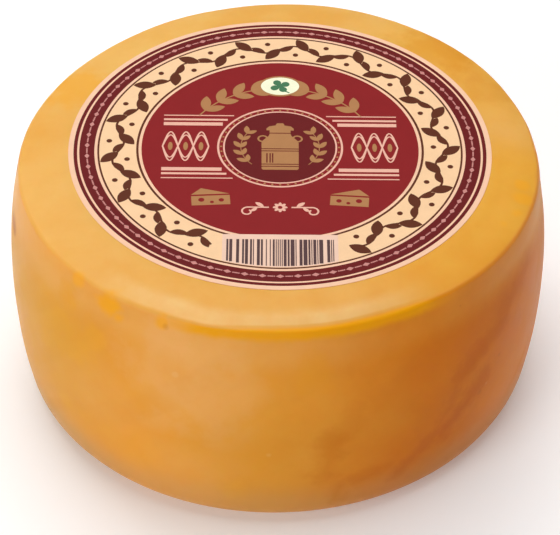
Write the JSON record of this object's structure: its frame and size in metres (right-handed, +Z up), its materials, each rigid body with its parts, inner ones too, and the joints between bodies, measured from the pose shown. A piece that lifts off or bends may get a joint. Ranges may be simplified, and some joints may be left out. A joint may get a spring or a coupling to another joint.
{
  "type": "hard cheese wheel",
  "caption": "Small uncut wheel of hard cheese with a smooth waxy orange rind, bulging sides and a round printed paper label on its top.",
  "frame": {"origin": "middle of the wheel's box in X and Y, on the flat face that it stands on", "axes": "+Z up along the wheel's axis, from the foot to the label; -Y towards the reader of the label, so the label's top edge is at +Y"},
  "size_m": [0.1802, 0.1802, 0.0895],
  "materials": {
    "rind": "smooth satin wax coating over orange cheese rind, slightly translucent",
    "label_paper": "satin coated paper printed in cream, deep red, maroon and tan"
  },
  "bodies": {
    "root": {"cheese_wheel": "rind", "label": "label_paper"}
  },
  "joints": []
}
